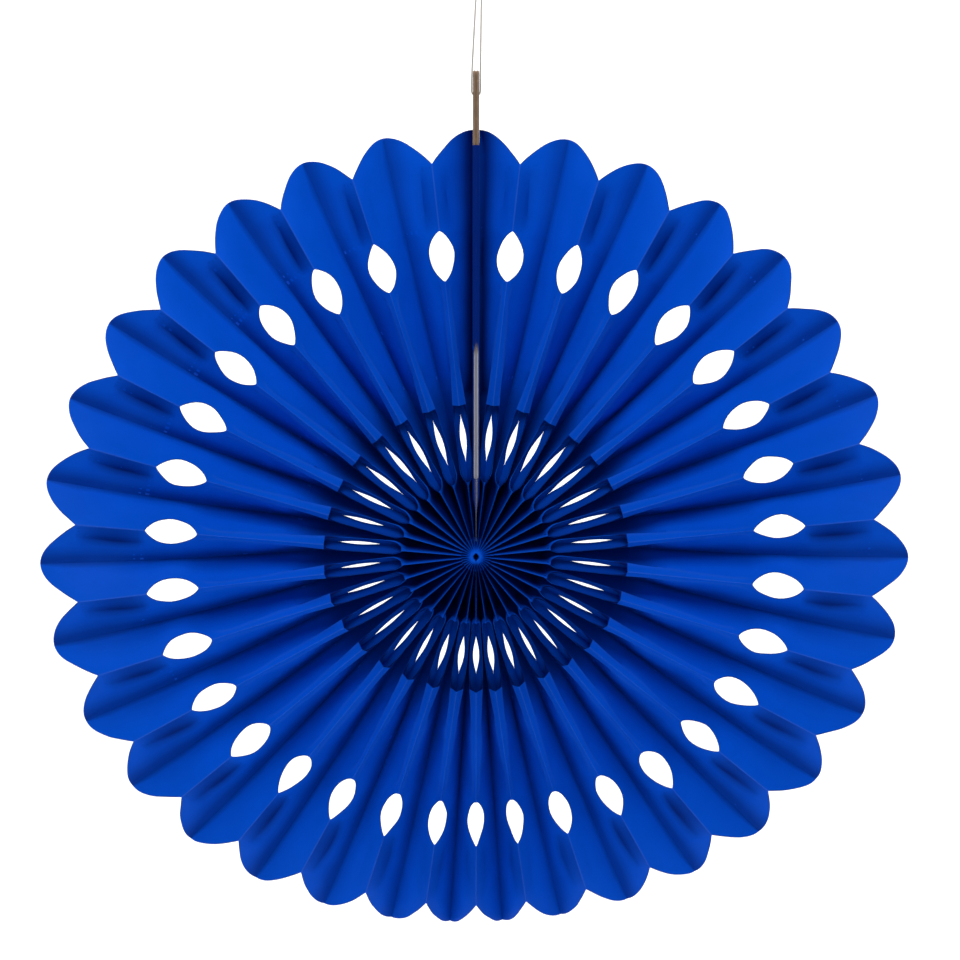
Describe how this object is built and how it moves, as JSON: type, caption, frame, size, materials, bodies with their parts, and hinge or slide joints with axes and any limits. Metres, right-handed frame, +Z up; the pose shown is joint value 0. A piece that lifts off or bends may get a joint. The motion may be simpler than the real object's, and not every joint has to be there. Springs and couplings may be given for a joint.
{
  "type": "paper fan rosette",
  "caption": "Round hanging paper fan: a pleated, die-cut blue paper circle with pointed petals, two card strips in its seam and a thin string loop.",
  "frame": {"origin": "inner top of the string's loop, where the fan hangs on a hook", "axes": "+X to the viewer's right, +Y away from the viewer towards the fan's back, +Z up; the pleats open in the XZ plane below the origin"},
  "size_m": [0.4046, 0.1039, 0.4935],
  "materials": {
    "blue_paper": "satin",
    "kraft_card": "matte",
    "cotton_string": "matte"
  },
  "bodies": {
    "root": {"pleated_paper": "blue_paper", "card_left": "kraft_card", "card_right": "kraft_card", "hanging_string": "cotton_string", "string_knot": "cotton_string", "hanging_loop": "cotton_string"}
  },
  "joints": []
}
